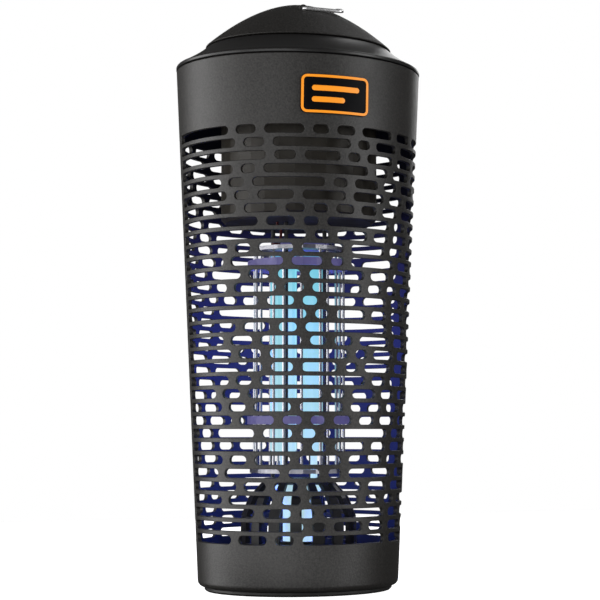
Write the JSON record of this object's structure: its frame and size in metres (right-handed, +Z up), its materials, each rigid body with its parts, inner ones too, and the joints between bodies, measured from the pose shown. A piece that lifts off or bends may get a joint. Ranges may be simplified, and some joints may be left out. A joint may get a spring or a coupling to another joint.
{
  "type": "electric bug zapper",
  "caption": "Oval tapered lantern bug zapper: slotted dark shell over a lit ultraviolet lamp in electrode grids, domed cap with a folding wire bail, twist-off catch tray underneath.",
  "frame": {"origin": "centre of the catch tray's underside, which the lantern stands on", "axes": "+Z up, -Y towards the front (the side with the badge), +X to the right seen from the front"},
  "size_m": [0.1662, 0.1408, 0.389],
  "materials": {
    "shell_plastic": "fine grain, matt",
    "cover_plastic": "fine grain, matt",
    "chrome_wire": "polished",
    "badge_face": "near black with a printed border",
    "housing_plastic": "matt",
    "board_green": "solder resist",
    "iron_core": "varnished laminations",
    "copper_winding": "enamelled wire",
    "film_blue": "satin",
    "insulator_lavender": "satin",
    "grid_steel": "drawn wire",
    "guard_plastic": "matt",
    "lamp_glass": "phosphor-coated glass, lit",
    "lamp_white": "satin",
    "lead_red": "insulated wire",
    "lead_black": "insulated wire",
    "screw_steel": "zinc plated",
    "brass": "satin",
    "tray_plastic": "matt"
  },
  "bodies": {
    "root": {"badge_plate": "badge_face", "base_ring": "cover_plastic", "bell_guard": "guard_plastic", "capacitor_1": "film_blue", "capacitor_2": "film_blue", "circuit_board": "board_green", "cover_screw_1": "screw_steel", "cover_screw_2": "screw_steel", "cover_screw_3": "screw_steel", "cover_screw_4": "screw_steel", "dome_cap": "cover_plastic", "electronics_housing": "housing_plastic", "grid_lead_black": "lead_black", "grid_lead_red": "lead_red", "grille_shell": "shell_plastic", "housing_lid": "housing_plastic", "housing_screw_1": "screw_steel", "housing_screw_2": "screw_steel", "inlet_blade_1": "brass", "inlet_blade_2": "brass", "inner_grid": "grid_steel", "lamp_base": "lamp_white", "lamp_retainer": "insulator_lavender", "lamp_socket": "housing_plastic", "lower_insulator": "insulator_lavender", "outer_grid": "grid_steel", "power_inlet": "guard_plastic", "shoulder_ring": "cover_plastic", "support_post_1": "guard_plastic", "support_post_2": "guard_plastic", "support_post_3": "guard_plastic", "support_post_4": "guard_plastic", "transformer_coil": "copper_winding", "transformer_core": "iron_core", "upper_insulator": "insulator_lavender", "uv_lamp": "lamp_glass"},
    "bail": {"hanging_bail": "chrome_wire"},
    "tray": {"catch_tray": "tray_plastic"}
  },
  "joints": [
    {"name": "bail_hinge", "type": "hinge", "parent": "root", "child": "bail", "pos_m": [-0.006, 0, 0.3805], "axis": [0, -1, 0], "range_deg": [0, 158]},
    {"name": "tray_twist", "type": "hinge", "parent": "root", "child": "tray", "pos_m": [0, 0, 0.008], "axis": [0, 0, 1], "range_deg": [0, 20]}
  ]
}
